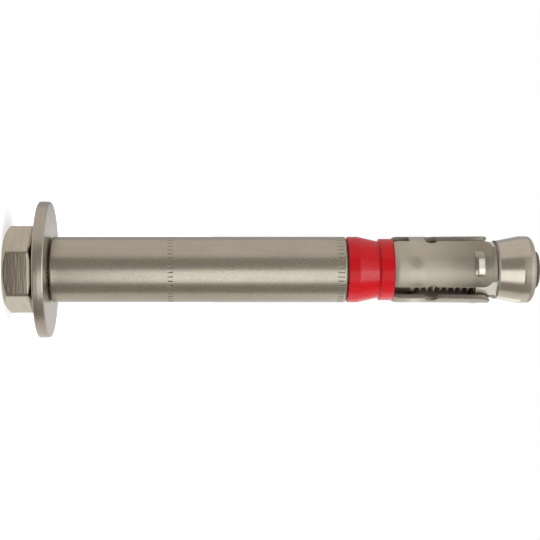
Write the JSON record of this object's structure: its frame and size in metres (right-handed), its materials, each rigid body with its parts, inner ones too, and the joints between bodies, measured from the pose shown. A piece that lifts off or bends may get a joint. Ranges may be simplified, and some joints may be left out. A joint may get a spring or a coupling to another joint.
{
  "type": "expansion anchor",
  "caption": "Heavy-duty sleeve expansion anchor: a hexagon bolt with a washer, distance sleeve and plastic crush collar draws a cone into a slotted sleeve that grips its hole.",
  "frame": {"origin": "centre of the flat on top of the bolt's head, on which the anchor stands", "axes": "+Z along the bolt's axis, from the head to the tip; the flat of the head that the picture shows faces about -Y"},
  "size_m": [0.03, 0.03, 0.1164],
  "materials": {
    "forged_steel": "cold-forged stainless steel, dull with brighter edges",
    "stamped_steel": "stamped stainless steel, tumbled satin",
    "tube_steel": "drawn stainless steel tube, satin",
    "red_plastic": "moulded red plastic, satin",
    "strip_steel": "rolled stainless steel strip, dull",
    "turned_steel": "turned stainless steel with fine tool marks"
  },
  "bodies": {
    "bolt": {"hex_bolt": "forged_steel"},
    "washer": {"washer": "stamped_steel"},
    "spacer": {"distance_sleeve": "tube_steel"},
    "expander": {"crush_collar": "red_plastic", "expansion_sleeve": "strip_steel"},
    "cone": {"cone_nut": "turned_steel"}
  },
  "joints": [
    {"name": "washer_spin", "type": "hinge", "parent": "bolt", "child": "washer", "pos_m": [0, 0, 0.00855], "axis": [0, 0, 1], "continuous": true},
    {"name": "spacer_spin", "type": "hinge", "parent": "bolt", "child": "spacer", "pos_m": [0, 0, 0.0422], "axis": [0, 0, 1], "continuous": true},
    {"name": "bolt_turn", "type": "hinge", "parent": "bolt", "child": "expander", "pos_m": [0, 0, 0.0951], "axis": [0, 0, -1], "range_deg": [-720, 360]},
    {"name": "cone_draw", "type": "slide", "parent": "expander", "child": "cone", "axis": [0, 0, -1], "range_m": [-0.0031, 0.0016]}
  ],
  "couplings": [
    {"joint": "cone_draw", "follows": "bolt_turn", "m_per_rad": 0.00023873}
  ]
}
